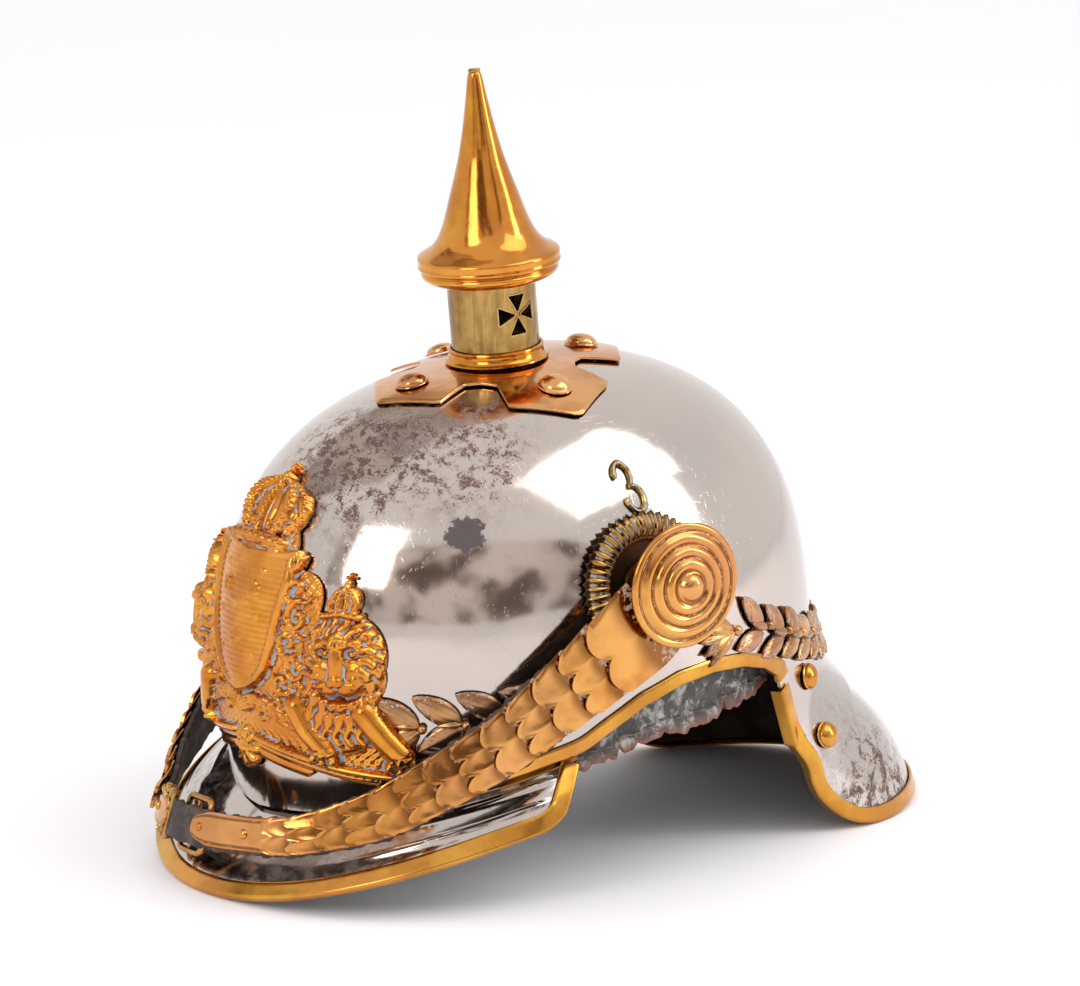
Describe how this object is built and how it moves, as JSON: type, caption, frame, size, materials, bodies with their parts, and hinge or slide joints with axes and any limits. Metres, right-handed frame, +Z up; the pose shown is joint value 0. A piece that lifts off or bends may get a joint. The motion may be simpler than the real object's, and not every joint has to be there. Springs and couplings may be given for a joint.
{
  "type": "spiked cavalry helmet",
  "caption": "Polished steel helmet with a vented brass spike, a heraldic front plate, a flared neck guard, a brass-edged visor and a brass-scaled chin strap resting over the visor.",
  "frame": {"origin": "middle of the helmet's plan outline, on the surface it rests on", "axes": "+X to the wearer's left, +Y to the back of the helmet, +Z straight up; the helmet is at rest, tipped about 5 degrees forward on its visor and neck guard"},
  "size_m": [0.2148, 0.297, 0.2763],
  "materials": {
    "polished_steel": "polished, with rust pitting near the crown and on the neck guard",
    "brass": "bright, with pale polish residue in the recesses",
    "copper_brass": "bright, reddish",
    "old_brass": "tarnished, greenish brown",
    "strap_leather": "worn dark brown",
    "lining_leather": "cracked grey, with a torn red-brown edge"
  },
  "bodies": {
    "root": {"skull": "polished_steel", "neck_guard": "polished_steel", "visor": "polished_steel", "ear_trim_left": "brass", "ear_trim_right": "brass", "base_plate": "copper_brass", "base_stud_left": "copper_brass", "base_stud_back": "copper_brass", "base_stud_right": "copper_brass", "base_stud_front": "copper_brass", "neck_rivet_upper_left": "brass", "neck_rivet_lower_left": "brass", "neck_rivet_upper_right": "brass", "neck_rivet_lower_right": "brass", "spike_collar": "copper_brass", "spike_column": "old_brass", "spike_cone": "brass", "front_plate": "brass", "wreath_left": "old_brass", "wreath_right": "old_brass", "wreath_knot": "old_brass", "cockade_left": "old_brass", "rosette_left": "brass", "cockade_right": "old_brass", "rosette_right": "brass", "scroll_left": "brass", "scroll_right": "brass", "lining": "lining_leather", "chin_strap": "strap_leather", "scale_left_01": "brass", "scale_right_01": "brass", "scale_left_02": "brass", "scale_right_02": "brass", "scale_left_03": "brass", "scale_right_03": "brass", "scale_left_04": "brass", "scale_right_04": "brass", "scale_left_05": "brass", "scale_right_05": "brass", "scale_left_06": "brass", "scale_right_06": "brass", "scale_left_07": "brass", "scale_right_07": "brass", "scale_left_08": "brass", "scale_right_08": "brass", "scale_left_09": "brass", "scale_right_09": "brass", "scale_left_10": "brass", "scale_right_10": "brass", "scale_left_11": "brass", "scale_right_11": "brass", "scale_left_12": "brass", "scale_right_12": "brass", "scale_left_13": "brass", "scale_right_13": "brass", "tongue_plate": "brass", "buckle_plate": "brass", "buckle": "brass", "visor_trim": "brass", "neck_guard_trim": "brass"}
  },
  "joints": []
}
